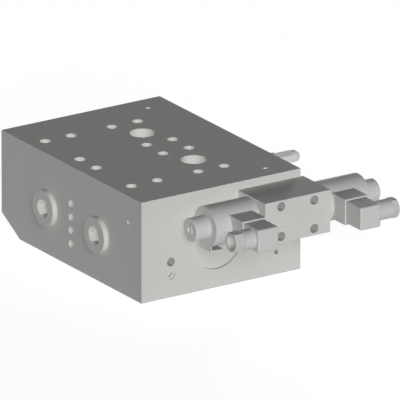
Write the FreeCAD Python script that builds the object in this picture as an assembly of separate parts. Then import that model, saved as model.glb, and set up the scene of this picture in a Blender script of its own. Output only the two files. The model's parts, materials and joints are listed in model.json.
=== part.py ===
import FreeCAD, Part
import math
import os
from FreeCAD import Rotation, Vector

# Freewheeling valve: a ported steel block with a spring-returned main spool, two motor ports in the base,
# two pump ports on top, and a solenoid-operated pilot valve flanged to the front face.
# Frame: origin at the centre of the base face, +X to the right along the front face, +Y to the back, +Z up.
# Sizes are in millimetres. Places are dimensioned from the block's left, front and bottom faces.

# Block
block_width = 195.0
block_depth = 268.0
block_height = 110.0
back_chamfer_depth = 35.0
back_chamfer_height = 20.0

# Main ports and their flange patterns
port_radius = 13.8
port_rows = {"front": 82.4, "rear": 180.5}
pump_port_left = 117.3
pump_port_floor = 40.0
motor_port_left = 35.4
flange_half_x = 15.9
flange_half_y = 33.35
flange_thread_radius = 5.9
flange_thread_depth = 30.0
block_bolt_radius = 6.1
edge_bolt_left = 19.5
base_seal_outer = 22.2
base_seal_inner = 18.6
base_seal_depth = 2.6

# Main spool bore, along Y
bore_left = 92.8
bore_height = 50.9
recess_depth = 3.2
front_seat_radius = 30.9
front_seat_end = 21.2
front_chamber_radius = 24.0
front_chamber_end = 46.0
spool_bore_radius = 19.0
spool_bore_end = 222.0
rear_chamber_radius = 22.0
rear_seat_start = 248.8
rear_seat_radius = 27.0
port_groove_radius = 27.0
port_groove_half = 15.0
case_groove_radius = 24.0
case_groove_half = 8.0
case_row = 134.0
spool_clearance = 0.03
plug_gap = 0.05
spool_stop = 31.2
spool_front = 33.2
spool_rear = 221.0
rear_nose_start = 237.5
spring_pocket_radius = 12.0
spring_pocket_floor = 206.0
rear_pocket_floor = 256.0

# Cross drillings with collared plugs, along X from the left face
cross_height = 51.0
cross_thread_radius = 16.5
cross_thread_depth = 18.0
collar_radius = 19.5
collar_height = 5.4
collar_socket = 17.0
collar_seal_outer = 18.4
collar_seal_inner = 16.9
collar_seal_depth = 1.3

# Gauge and pilot channels
gauge_radius = 4.75
case_gauge_lowest = 24.4
case_gauge_highest = 68.4
case_gauge_depths = (92.0, 75.0, 72.0, 79.0)
front_gauge_left = 36.1
front_gauge_heights = (38.5, 24.4)
front_gauge_depth = 70.0
plugged_gauge_height = 24.4
channel_radius = 3.0
drill_plug_radius = 4.5
drill_plug_seat = 7.0
drill_plug_length = 5.0
small_thread_radius = 2.5
small_thread_depth = 12.0
drill_tip_slope = 0.6

# Pilot valve, its interface as seen from the front
pilot_left = 118.2
pilot_length = 80.0
pilot_depth = 51.0
pilot_bottom = 55.2
pilot_height = 46.0
pilot_axis_front = -22.0
pilot_axis_height = 78.2
pilot_bore_radius = 7.0
pilot_bolts = ((138.0, 94.45), (138.0, 61.95), (178.5, 93.7), (178.5, 62.7))
pilot_ports = {"supply": (157.0, 67.8), "tank": (157.0, 88.6), "rear": (165.8, 78.2), "front": (148.3, 78.2)}
pilot_centre = 158.2
pilot_stroke = 3.0
pilot_counterbore_radius = 4.9
pilot_counterbore_depth = 20.0
pilot_bolt_radius = 2.5
pilot_bolt_hole = 2.75
pilot_seal_radius = 6.1
pilot_seal_depth = 1.45
pilot_groove_radius = 10.5
solenoid_seat_radius = 11.0
solenoid_seat_depth = 12.0

# Solenoids: distances run outwards from the pilot body's end faces
tube_radius = 9.4
coil_radius = 21.7
coil_length = 54.5
coil_bore_radius = 9.5
coil_foot = (12.0, 22.0, 24.0)
nut_radius = 12.5
nut_length = 18.7
terminal_box = 28.0
terminal_box_start = {"left": 7.8, "right": 9.6}
terminal_box_front = -64.0
armature_radius = 7.55
armature_start = 25.4
armature_length = 24.0
push_pin_radius = 2.0
override_radius = 2.5

# Plug connectors
plug_size = 25.0
plug_front = -91.0
plug_wall = 3.0
plug_edge = 1.4
gasket_thickness = 1.0
insert_thickness = 6.0
gland_front = -77.0
gland_radius = 10.5
gland_bore_radius = 8.2
gland_neck = {"left": 13.2, "right": 18.9}
gland_nut_length = {"left": 11.4, "right": 7.0}
gland_nut_flats = 20.6
gland_entry_radius = 7.0
cable_radius = 4.0

# Relief valve in the right face: distances run outwards from that face
relief_front = 58.5
relief_height = 100.5
relief_bore_radius = 6.05
relief_bore_depth = 53.0
relief_cap_flats = 13.0
relief_collar_radius = 8.3

UP = Vector(0, 0, 1)
DOWN = Vector(0, 0, -1)
RIGHT = Vector(1, 0, 0)
LEFT = Vector(-1, 0, 0)
BACK = Vector(0, 1, 0)
FRONT = Vector(0, -1, 0)
sides = {"left": LEFT, "right": RIGHT}


# Point at distances from the block's left, front and bottom faces
def at(left, front, height):
    return Vector(left - block_width / 2, front - block_depth / 2, height)


# Solid put from the Z axis onto an axis through start
def aligned(shape, start, direction):
    shape.rotate(Vector(0, 0, 0), *axis_and_angle(direction))
    shape.translate(start)
    return shape


def axis_and_angle(direction):
    turn = Rotation(UP, direction)
    return turn.Axis, math.degrees(turn.Angle)


# Solid of revolution: outline is a closed list of (distance along the axis, radius)
def turned(start, direction, outline):
    points = [Vector(radius, 0, along) for along, radius in outline]
    face = Part.Face(Part.makePolygon(points + points[:1]))
    return aligned(face.revolve(Vector(0, 0, 0), UP, 360), start, direction)


def rod(start, direction, radius, length):
    return Part.makeCylinder(radius, length, start, direction)


def ring(start, direction, outer, inner, length):
    return rod(start, direction, outer, length).cut(rod(start, direction, inner, length))


# Drilled hole with the cone that a twist drill leaves
def drilled(start, direction, radius, depth):
    outline = [(0, 0), (0, radius), (depth, radius), (depth + drill_tip_slope * radius, 0)]
    return turned(start, direction, outline)


# Straight drilling from one point to another
def drilled_between(start, end, radius):
    run = end.sub(start)
    return rod(start, run, radius, run.Length)


# Hexagonal prism with a corner towards the top
def hexagon(start, direction, flats, length):
    corner = flats / math.sqrt(3)
    angles = [math.radians(60 * step) for step in range(6)]
    points = [Vector(corner * math.cos(angle), corner * math.sin(angle), 0) for angle in angles]
    face = Part.Face(Part.makePolygon(points + points[:1]))
    return aligned(face.extrude(Vector(0, 0, length)), start, direction)


# Box given by its centre, measured from the block's faces, and its three sizes
def centred_box(left, front, height, size_x, size_y, size_z):
    corner = at(left - size_x / 2, front - size_y / 2, height - size_z / 2)
    return Part.makeBox(size_x, size_y, size_z, corner)


# Eight-sided section of a wire or a squeezed ring, as (along the axis, from the axis), with flats on all four sides
def eight_sided(mean_radius, section_radius):
    angles = [math.radians(45 * step + 22.5) for step in range(8)]
    return [(section_radius * math.sin(angle), mean_radius + section_radius * math.cos(angle)) for angle in angles]


def seal_ring(centre, direction, mean_radius, section_radius):
    return turned(centre, direction, eight_sided(mean_radius, section_radius))


# Compression spring: wire on a helix between two planes
def coil_spring(start, direction, mean_radius, wire_radius, length, turns):
    rise = length - 2 * wire_radius
    helix = Part.Wire(Part.makeHelix(rise / turns, rise, mean_radius).Edges)
    corners = [Vector(radius, 0, along) for along, radius in eight_sided(mean_radius, wire_radius)]
    spring = helix.makePipeShell([Part.makePolygon(corners + corners[:1])], True, True)
    spring.translate(Vector(0, 0, wire_radius))
    return aligned(spring, start, direction)


def group(solids):
    return Part.makeCompound(solids)


# Ported block

def block_outline():
    corners = [(0, 0), (block_depth - back_chamfer_depth, 0), (block_depth, back_chamfer_height),
               (block_depth, block_height), (0, block_height)]
    points = [at(0, front, height) for front, height in corners]
    face = Part.Face(Part.makePolygon(points + points[:1]))
    return face.extrude(Vector(block_width, 0, 0))


# Stepped bore of the main spool with the two port grooves and the case groove
def spool_bore():
    start = at(bore_left, 0, bore_height)
    outline = [(0, 0), (0, front_seat_radius), (front_seat_end, front_seat_radius),
               (front_seat_end, front_chamber_radius), (front_chamber_end, front_chamber_radius)]
    grooves = [(port_rows["front"], port_groove_half, port_groove_radius),
               (case_row, case_groove_half, case_groove_radius),
               (port_rows["rear"], port_groove_half, port_groove_radius)]
    outline.append((front_chamber_end, spool_bore_radius))
    for row, half, radius in grooves:
        outline += [(row - half, spool_bore_radius), (row - half, radius)]
        outline += [(row + half, radius), (row + half, spool_bore_radius)]
    outline += [(spool_bore_end, spool_bore_radius), (spool_bore_end, rear_chamber_radius),
                (rear_seat_start, rear_chamber_radius), (rear_seat_start, rear_seat_radius),
                (block_depth, rear_seat_radius), (block_depth, 0)]
    return turned(start, BACK, outline)


def cross_bore(row):
    outline = [(0, 0), (0, cross_thread_radius), (cross_thread_depth, cross_thread_radius),
               (cross_thread_depth, port_radius), (bore_left, port_radius), (bore_left, 0)]
    return turned(at(0, row, cross_height), RIGHT, outline)


# Every opening of one pump port and one motor port
def port_cuts(row):
    cuts = [cross_bore(row)]
    cuts.append(rod(at(pump_port_left, row, pump_port_floor), UP, port_radius, block_height - pump_port_floor))
    cuts.append(rod(at(motor_port_left, row, 0), UP, port_radius, cross_height))
    cuts.append(ring(at(motor_port_left, row, 0), UP, base_seal_outer, base_seal_inner, base_seal_depth))
    for side_x in (-flange_half_x, flange_half_x):
        for side_y in (-flange_half_y, flange_half_y):
            mouth = at(pump_port_left + side_x, row + side_y, block_height)
            cuts.append(drilled(mouth, DOWN, flange_thread_radius, flange_thread_depth))
    return cuts


# Six through holes: the motor ports' flange patterns without the two inner corners by the middle
def block_bolt_places():
    front_row, rear_row = port_rows["front"], port_rows["rear"]
    inner_left = edge_bolt_left + 2 * flange_half_x
    return [(edge_bolt_left, front_row - flange_half_y), (inner_left, front_row - flange_half_y),
            (edge_bolt_left, front_row + flange_half_y), (edge_bolt_left, rear_row - flange_half_y),
            (edge_bolt_left, rear_row + flange_half_y), (inner_left, rear_row + flange_half_y)]


def gauge_cuts():
    cuts = []
    pitch = (case_gauge_highest - case_gauge_lowest) / (len(case_gauge_depths) - 1)
    for index, depth in enumerate(case_gauge_depths):
        cuts.append(rod(at(0, case_row, case_gauge_lowest + index * pitch), RIGHT, gauge_radius, depth))
    for height in front_gauge_heights:
        cuts.append(rod(at(front_gauge_left, 0, height), BACK, gauge_radius, front_gauge_depth))
    return cuts


# Small tapped holes: two on top, one in the left face, one in the front face
def small_thread_places():
    return [(at(164.7, 20.2, block_height), DOWN), (at(164.7, 242.8, block_height), DOWN),
            (at(0, 24.7, 80.9), RIGHT), (at(165.1, 0, 24.3), BACK)]


# Oblique drillings that are closed at the right face, each with its mouth and its far end
def plugged_channels():
    return [(at(block_width, case_row, 103.6), at(108, case_row, 69.2)),
            (at(block_width, 230, 88.3), at(110, 230, 59.0))]


# Channels between the pilot interface, the main ports, the spool's end chambers and the case groove
def pilot_channel_cuts():
    ends = {name: at(left, 0, height) for name, (left, height) in pilot_ports.items()}
    runs = [(ends["supply"], at(126, 74, 60)), (ends["front"], at(112, 37, 61)),
            (ends["tank"], at(157, case_row, 88.6)), (ends["rear"], at(165.8, 230, 78.2))]
    cuts = [drilled_between(start, end, channel_radius) for start, end in runs]
    relief_runs = [(ends["tank"], at(172, relief_front, 97)),
                   (at(pump_port_left, port_rows["front"], 105), at(146, relief_front, relief_height))]
    cuts += [drilled_between(start, end, 2.5) for start, end in relief_runs]
    for mouth, end in plugged_channels():
        inwards = end.sub(mouth).normalize()
        cuts.append(drilled_between(mouth.sub(inwards * channel_radius), end, channel_radius))
        cuts.append(rod(mouth.sub(inwards * drill_plug_radius), inwards, drill_plug_radius,
                        drill_plug_seat + drill_plug_radius))
    for left, height in pilot_bolts:
        cuts.append(drilled(at(left, 0, height), BACK, pilot_bolt_radius, 13.0))
    return cuts


def valve_block():
    cuts = [spool_bore()]
    for row in port_rows.values():
        cuts += port_cuts(row)
    for left, front in block_bolt_places():
        cuts.append(rod(at(left, front, 0), UP, block_bolt_radius, block_height))
    for mouth, inwards in small_thread_places():
        cuts.append(drilled(mouth, inwards, small_thread_radius, small_thread_depth))
    cuts += gauge_cuts()
    cuts += pilot_channel_cuts()
    cuts.append(rod(at(block_width, relief_front, relief_height), LEFT, relief_bore_radius, relief_bore_depth))
    return block_outline().cut(cuts)


# Main spool and the plugs of its bore

# Lands at rest: front guide, two narrow lands that part the ports from the case groove, rear guide with spring pocket
def main_spool():
    land = spool_bore_radius - spool_clearance
    waist = 10.0
    lands = [(spool_front, 60.0), (112.5, 122.5), (151.5, 163.5), (201.0, spool_rear)]
    outline = [(spool_stop, 0), (spool_stop, 8.0), (spool_front, 8.0)]
    for index, (land_start, land_end) in enumerate(lands):
        if index:
            outline.append((land_start, waist))
        outline += [(land_start, land), (land_end, land)]
        if index < len(lands) - 1:
            outline.append((land_end, waist))
    outline += [(spool_rear, spring_pocket_radius), (spring_pocket_floor, spring_pocket_radius),
                (spring_pocket_floor, 0)]
    return turned(at(bore_left, 0, bore_height), BACK, outline)


def front_bore_plug():
    head = front_seat_radius - plug_gap
    nose = front_chamber_radius - plug_gap
    groove = 21.3
    outline = [(recess_depth, 0), (recess_depth, head), (front_seat_end, head), (front_seat_end, nose),
               (25.0, nose), (25.0, groove), (28.0, groove), (28.0, nose), (spool_stop, nose), (spool_stop, 0)]
    return turned(at(bore_left, 0, bore_height), BACK, outline)


def rear_bore_plug():
    head = rear_seat_radius - plug_gap
    nose = rear_chamber_radius - plug_gap
    groove = 19.4
    rear_face = block_depth - recess_depth
    outline = [(rear_nose_start, spring_pocket_radius), (rear_nose_start, nose), (242.0, nose),
               (242.0, groove), (245.0, groove), (245.0, nose), (rear_seat_start, nose),
               (rear_seat_start, head), (rear_face, head), (rear_face, 0),
               (rear_pocket_floor, 0), (rear_pocket_floor, spring_pocket_radius)]
    return turned(at(bore_left, 0, bore_height), BACK, outline)


def main_spring():
    length = rear_pocket_floor - spring_pocket_floor
    return coil_spring(at(bore_left, spring_pocket_floor, bore_height), BACK, 9.6, 2.0, length, 6)


# Plugs of the cross drillings, the gauge channel and the oblique drillings

def cross_plug(row):
    thread = cross_thread_radius - plug_gap
    rim = 0.8
    outline = [(-collar_height, 0), (-collar_height, collar_radius - rim), (rim - collar_height, collar_radius),
               (0, collar_radius), (0, collar_seal_outer + plug_gap),
               (-collar_seal_depth, collar_seal_outer + plug_gap), (-collar_seal_depth, thread),
               (16.0, thread), (16.0, 0)]
    face = at(0, row, cross_height)
    plug = turned(face, RIGHT, outline)
    outer = at(-collar_height, row, cross_height)
    countersink = turned(outer, RIGHT, [(0, 0), (0, 9.9), (1.4, 8.5), (1.4, 0)])
    return plug.cut([countersink, hexagon(outer, RIGHT, collar_socket, 9.0)])


def cross_seal(row):
    start = at(-collar_seal_depth, row, cross_height)
    return ring(start, RIGHT, collar_seal_outer, collar_seal_inner, collar_seal_depth)


def gauge_plug():
    start = at(front_gauge_left, 2.0, plugged_gauge_height)
    plug = rod(start, BACK, gauge_radius - plug_gap, 7.0)
    return plug.cut(hexagon(start, BACK, 5.0, 4.0))


def channel_plugs():
    plugs = []
    for mouth, end in plugged_channels():
        inwards = end.sub(mouth).normalize()
        start = mouth.add(inwards * (drill_plug_seat - drill_plug_length))
        plugs.append(rod(start, inwards, drill_plug_radius - plug_gap, drill_plug_length))
    return group(plugs)


def base_port_seals():
    depth = base_seal_depth - 0.1
    inner = base_seal_inner + 0.2
    outer = base_seal_outer - 0.2
    rings = [ring(at(motor_port_left, row, 0.1), UP, outer, inner, depth) for row in port_rows.values()]
    return group(rings)


# Relief valve: housing with seat, poppet, spring, spring plate, adjusting screw and domed cap nut

def relief_at(distance):
    return at(block_width + distance, relief_front, relief_height)


def relief_housing():
    outline = [(-45, 1.6), (-45, 6.0), (-44, 6.0), (-44, 4.9), (-42.2, 4.9), (-42.2, 6.0), (-41, 6.0),
               (-41, 4.9), (-17, 4.9), (-17, 6.0), (-10, 6.0), (-10, 4.9), (-8.2, 4.9), (-8.2, 6.0), (0, 6.0),
               (0, relief_collar_radius), (5, relief_collar_radius), (5, 4.0), (19, 4.0),
               (19, 2.4), (0, 2.4), (0, 3.7), (-40.9, 3.7), (-40.9, 1.6)]
    housing = turned(relief_at(0), RIGHT, outline)
    cross_hole = rod(relief_at(-38.5).add(Vector(0, 0, -6)), UP, 1.2, 12)
    return housing.cut(cross_hole)


def relief_poppet():
    outline = [(-42.4, 0), (-42.4, 0.5), (-39.6, 2.6), (-35.5, 2.6), (-35.5, 3.66), (-30.5, 3.66),
               (-30.5, 1.7), (-27.5, 1.7), (-27.5, 0)]
    return turned(relief_at(0), RIGHT, outline)


def relief_spring():
    return coil_spring(relief_at(-30.5), RIGHT, 2.7, 0.45, 20.5, 7)


def relief_spring_plate():
    outline = [(-12.5, 0), (-12.5, 1.7), (-10, 1.7), (-10, 3.5), (-8, 3.5), (-8, 0)]
    return turned(relief_at(0), RIGHT, outline)


def relief_adjuster():
    screw = rod(relief_at(-8), RIGHT, 2.35, 30)
    slot = centred_box(block_width + 21.5, relief_front, relief_height, 2.0, 6.0, 0.9)
    return screw.cut(slot)


# Cap nut: hexagon for the spanner, then a round end with a large rounded edge
def relief_cap():
    hexagon_end = 28.0
    cap_end = 35.3
    radius = 6.4
    hexagon_part = hexagon(relief_at(5), RIGHT, relief_cap_flats, hexagon_end - 5)
    round_part = rod(relief_at(hexagon_end - 1), RIGHT, radius, cap_end - hexagon_end + 1)
    rounded = round_part.makeFillet(5.0, [edge_at(round_part, relief_at(cap_end))])
    cap = hexagon_part.fuse(rounded)
    return cap.cut(rod(relief_at(5), RIGHT, 4.05, 21)).removeSplitter()


# Circular edge whose centre is nearest to a point
def edge_at(shape, point):
    circles = [edge for edge in shape.Edges if isinstance(edge.Curve, Part.Circle)]
    return min(circles, key=lambda edge: edge.Curve.Center.distanceToPoint(point))


def relief_seals():
    return group([seal_ring(relief_at(along), RIGHT, 5.46, 0.54) for along in (-43.1, -9.1)])


# Pilot valve

# Cast body: spool bore with five chambers, tank gallery, four face ports, sunk bolt holes and solenoid seats
def pilot_body():
    body = Part.makeBox(pilot_length, pilot_depth, pilot_height, at(pilot_left, -pilot_depth, pilot_bottom))
    right_end = pilot_left + pilot_length
    outline = [(0, 0), (0, solenoid_seat_radius), (solenoid_seat_depth, solenoid_seat_radius),
               (solenoid_seat_depth, pilot_bore_radius)]
    chambers = [(137.0, 142.0), (145.8, 150.8), (154.0, 160.0), (163.3, 168.3), (174.0, 179.0)]
    for chamber_start, chamber_end in chambers:
        start, end = chamber_start - pilot_left, chamber_end - pilot_left
        outline += [(start, pilot_bore_radius), (start, pilot_groove_radius)]
        outline += [(end, pilot_groove_radius), (end, pilot_bore_radius)]
    seat = pilot_length - solenoid_seat_depth
    outline += [(seat, pilot_bore_radius), (seat, solenoid_seat_radius), (pilot_length, solenoid_seat_radius),
                (pilot_length, 0)]
    cuts = [turned(at(pilot_left, pilot_axis_front, pilot_axis_height), RIGHT, outline)]
    cuts.append(Part.makeBox(36, 8, 6, at(139.5, -26, 84)))
    for left, height in pilot_ports.values():
        cuts.append(rod(at(left, -24, height), BACK, channel_radius, 24))
        cuts.append(rod(at(left, -pilot_seal_depth, height), BACK, pilot_seal_radius, pilot_seal_depth))
    for left, height in pilot_bolts:
        outline = [(0, 0), (0, pilot_counterbore_radius), (pilot_counterbore_depth, pilot_counterbore_radius),
                   (pilot_counterbore_depth, pilot_bolt_hole), (pilot_depth, pilot_bolt_hole), (pilot_depth, 0)]
        cuts.append(turned(at(left, -pilot_depth, height), BACK, outline))
    return body.cut(cuts)


def pilot_face_seals():
    depth = -pilot_seal_depth / 2
    rings = [seal_ring(at(left, depth, height), BACK, 5.3, 0.7) for left, height in pilot_ports.values()]
    return group(rings)


def pilot_screws():
    screws = []
    for left, height in pilot_bolts:
        seat = at(left, pilot_counterbore_depth - pilot_depth, height)
        outline = [(-5, 0), (-5, 4.25), (0, 4.25), (0, 2.45), (40, 2.45), (40, 0)]
        screw = turned(seat, BACK, outline)
        screws.append(screw.cut(hexagon(at(left, pilot_counterbore_depth - pilot_depth - 5, height), BACK, 4.0, 2.5)))
    return group(screws)


# Four-land spool, its two middle lands over the working port chambers
def pilot_spool():
    land = pilot_bore_radius - spool_clearance
    waist = 4.5
    lands = [(-27.0, -21.7), (-13.9, -5.9), (3.6, 11.6), (21.3, 27.0)]
    outline = [(lands[0][0], 0)]
    for index, (land_start, land_end) in enumerate(lands):
        if index:
            outline.append((land_start, waist))
        outline += [(land_start, land), (land_end, land)]
        if index < len(lands) - 1:
            outline.append((land_end, waist))
    outline.append((lands[-1][1], 0))
    return turned(at(pilot_centre, pilot_axis_front, pilot_axis_height), RIGHT, outline)


# Solenoid parts, each built outwards from one end face of the pilot body

def end_face(side):
    return pilot_left if side == "left" else pilot_left + pilot_length


def outwards(side, distance):
    left = end_face(side) + sides[side].x * distance
    return at(left, pilot_axis_front, pilot_axis_height)


def solenoid_turned(side, outline):
    return turned(outwards(side, 0), sides[side], outline)


def pilot_spring(side):
    return coil_spring(outwards(side, -13.0), sides[side], 5.2, 0.6, 10.0, 5)


# Pressure tube: screwed end with spring pocket, pole piece, armature chamber, threaded stub and neck
def solenoid_tube(side):
    nut_start = coil_length
    neck = nut_start + 14.5
    neck_end = coil_length + nut_length + 1.2
    outline = [(-12, 7.5), (-12, 10.9), (-3.2, 10.9), (-3.2, 9.2), (-1.2, 9.2), (-1.2, 10.9), (0, 10.9),
               (0, tube_radius), (nut_start, tube_radius), (nut_start, 7.9), (neck, 7.9), (neck, 4.85),
               (neck_end, 4.85), (neck_end, 2.55), (67.8, 2.55), (67.8, 3.9), (66.2, 3.9), (66.2, 2.55),
               (60, 2.55), (60, 4.0), (54, 4.0), (54, 7.6), (22, 7.6), (22, 2.05), (-3, 2.05), (-3, 7.5)]
    return solenoid_turned(side, outline)


def tube_seal(side):
    return seal_ring(outwards(side, -2.2), sides[side], 10.1, 0.85)


def armature(side):
    end = armature_start + armature_length
    pin_bore = push_pin_radius + 0.02
    outline = [(armature_start, pin_bore), (armature_start, armature_radius - 0.5),
               (armature_start + 0.5, armature_radius), (end - 0.5, armature_radius),
               (end, armature_radius - 0.5), (end, 0), (31.5, 0), (31.5, pin_bore)]
    return solenoid_turned(side, outline)


def push_pin(side):
    return rod(outwards(side, -13.0), sides[side], push_pin_radius, 44.4)


def override_pin(side):
    outline = [(55.3, 0), (55.3, override_radius), (58, override_radius), (58, 3.6), (60, 3.6),
               (60, override_radius), (73.2, override_radius), (73.2, 0)]
    return solenoid_turned(side, outline)


def override_seals():
    return group([seal_ring(outwards(side, 67), sides[side], 3.22, 0.62) for side in sides])


# Moulded coil: round body, terminal box towards the front and a flat foot under the outer end
def solenoid_coil(side):
    rim = 0.8
    outline = [(0, coil_bore_radius), (0, coil_radius - rim), (rim, coil_radius),
               (coil_length - rim, coil_radius), (coil_length, coil_radius - rim), (coil_length, coil_bore_radius)]
    coil = solenoid_turned(side, outline)
    depth = pilot_axis_front - terminal_box_front
    box_left = terminal_box_left(side)
    box = centred_box(box_left, pilot_axis_front - depth / 2, pilot_axis_height, terminal_box, depth, terminal_box)
    foot_length, foot_width, foot_drop = coil_foot
    foot_left = end_face(side) + sides[side].x * (coil_length - foot_length / 2)
    foot = centred_box(foot_left, pilot_axis_front, pilot_axis_height - foot_drop / 2,
                       foot_length, foot_width, foot_drop)
    bore = rod(outwards(side, 0), sides[side], coil_bore_radius, coil_length)
    body = coil.fuse([box, foot]).removeSplitter()
    return body.cut([bore] + terminal_blades(side, 0.1))


# Middle of the terminal box, as a distance from the block's left face
def terminal_box_left(side):
    return end_face(side) + sides[side].x * (terminal_box_start[side] + terminal_box / 2)


# Two upright blades and one flat earth blade, widened by play for their pockets
def terminal_blades(side, play):
    middle = terminal_box_left(side)
    length = 9.0
    front = terminal_box_front + 3.0 - length / 2
    thin, wide = 0.8 + play, 6.3 + play
    places = [(-6.0, 1.5, thin, wide), (6.0, 1.5, thin, wide), (0.0, -6.0, wide, thin)]
    return [centred_box(middle + shift_x, front, pilot_axis_height + shift_z, size_x, length + play, size_z)
            for shift_x, shift_z, size_x, size_z in places]


def terminal_pins(side):
    return group(terminal_blades(side, 0.0))


def coil_nut(side):
    end = coil_length + nut_length
    shoulder = coil_length + 14.9
    recess = coil_length + 1.7
    rim = 0.8
    outline = [(coil_length, 10.0), (coil_length, nut_radius), (end - rim, nut_radius), (end, nut_radius - rim),
               (end, 4.95), (shoulder, 4.95), (shoulder, 7.95), (recess, 7.95), (recess, 10.0)]
    return solenoid_turned(side, outline)


def nut_seal(side):
    return seal_ring(outwards(side, coil_length + 0.85), sides[side], 9.1, 0.8)


# Plug connector: gasket, hollow housing with a cable gland neck, terminal insert, gland seal and gland nut

def plug_back():
    return terminal_box_front - gasket_thickness


def connector_gasket(side):
    middle = terminal_box_left(side)
    front = terminal_box_front - gasket_thickness / 2
    size = plug_size - 0.6
    sheet = centred_box(middle, front, pilot_axis_height, size, gasket_thickness, size)
    return sheet.cut(centred_box(middle, front, pilot_axis_height, 19.4, gasket_thickness, 19.4))


def gland_at(side, distance):
    left = terminal_box_left(side) + sides[side].x * (plug_size / 2 + distance)
    return at(left, gland_front, pilot_axis_height)


def connector_housing(side):
    middle = terminal_box_left(side)
    depth = plug_back() - plug_front
    shell = centred_box(middle, plug_front + depth / 2, pilot_axis_height, plug_size, depth, plug_size)
    back = at(0, plug_back(), 0).y
    rounded = [edge for edge in shell.Edges if edge.CenterOfMass.y < back - 0.1]
    shell = shell.makeFillet(plug_edge, rounded)
    neck = rod(gland_at(side, -plug_wall / 2), sides[side], gland_radius, gland_neck[side] + plug_wall / 2)
    inner = plug_size - 2 * plug_wall
    cavity_depth = depth - plug_wall
    cavity = centred_box(middle, plug_back() - cavity_depth / 2, pilot_axis_height, inner, cavity_depth, inner)
    gland_bore = rod(gland_at(side, 0), sides[side], gland_bore_radius, gland_neck[side])
    entry = rod(gland_at(side, -plug_wall), sides[side], 5.5, plug_wall)
    return shell.fuse(neck).cut([cavity, gland_bore, entry]).removeSplitter()


def connector_insert(side):
    size = plug_size - 2 * plug_wall - 0.3
    front = plug_back() - insert_thickness / 2
    block = centred_box(terminal_box_left(side), front, pilot_axis_height, size, insert_thickness, size)
    return block.cut(terminal_blades(side, 0.2))


def gland_seal(side):
    length = gland_neck[side] - 6.0
    return ring(gland_at(side, 0.3), sides[side], gland_bore_radius - 0.1, cable_radius, length - 0.3)


# Gland nut: threaded nose in the neck, hexagon with a chamfered rim outside
def gland_nut(side):
    neck = gland_neck[side]
    length = gland_nut_length[side]
    corner = gland_nut_flats / math.sqrt(3)
    rim = 0.9
    envelope = turned(gland_at(side, neck), sides[side], [(0, 0), (0, corner), (length - rim, corner),
                                                          (length, corner - 1.6), (length, 0)])
    head = hexagon(gland_at(side, neck), sides[side], gland_nut_flats, length).common(envelope)
    nose = rod(gland_at(side, neck - 6.0), sides[side], gland_bore_radius - plug_gap, 6.0)
    bore = rod(gland_at(side, neck - 6.0), sides[side], gland_entry_radius, length + 6.0)
    return head.fuse(nose).cut(bore)


def single_parts():
    parts = {
        "valve_block": valve_block(),
        "main_spool": main_spool(),
        "main_spring": main_spring(),
        "front_bore_plug": front_bore_plug(),
        "rear_bore_plug": rear_bore_plug(),
        "front_bore_seal": seal_ring(at(bore_left, 26.5, bore_height), BACK, 22.63, 1.28),
        "rear_bore_seal": seal_ring(at(bore_left, 243.5, bore_height), BACK, 20.68, 1.25),
        "gauge_plug": gauge_plug(),
        "channel_plugs": channel_plugs(),
        "base_port_seals": base_port_seals(),
        "relief_housing": relief_housing(),
        "relief_poppet": relief_poppet(),
        "relief_spring": relief_spring(),
        "relief_spring_plate": relief_spring_plate(),
        "relief_adjuster": relief_adjuster(),
        "relief_cap": relief_cap(),
        "relief_seals": relief_seals(),
        "pilot_body": pilot_body(),
        "pilot_spool": pilot_spool(),
        "pilot_face_seals": pilot_face_seals(),
        "pilot_screws": pilot_screws(),
        "override_seals": override_seals(),
    }
    for name, row in port_rows.items():
        parts[name + "_cross_plug"] = cross_plug(row)
        parts[name + "_cross_seal"] = cross_seal(row)
    return parts


def paired_parts():
    makers = {
        "pilot_spring": pilot_spring,
        "solenoid_tube": solenoid_tube,
        "tube_seal": tube_seal,
        "armature": armature,
        "push_pin": push_pin,
        "override_pin": override_pin,
        "solenoid_coil": solenoid_coil,
        "coil_nut": coil_nut,
        "nut_seal": nut_seal,
        "terminal_pins": terminal_pins,
        "connector_gasket": connector_gasket,
        "connector_housing": connector_housing,
        "connector_insert": connector_insert,
        "gland_seal": gland_seal,
        "gland_nut": gland_nut,
    }
    return {name + "_" + side: maker(side) for name, maker in makers.items() for side in sides}


def main():
    os.makedirs("parts", exist_ok=True)
    parts = {**single_parts(), **paired_parts()}
    for name, shape in parts.items():
        shape.exportStep("parts/" + name + ".step")
    print(len(parts), "nodes written")


main()
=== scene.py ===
import json
import math

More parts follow.
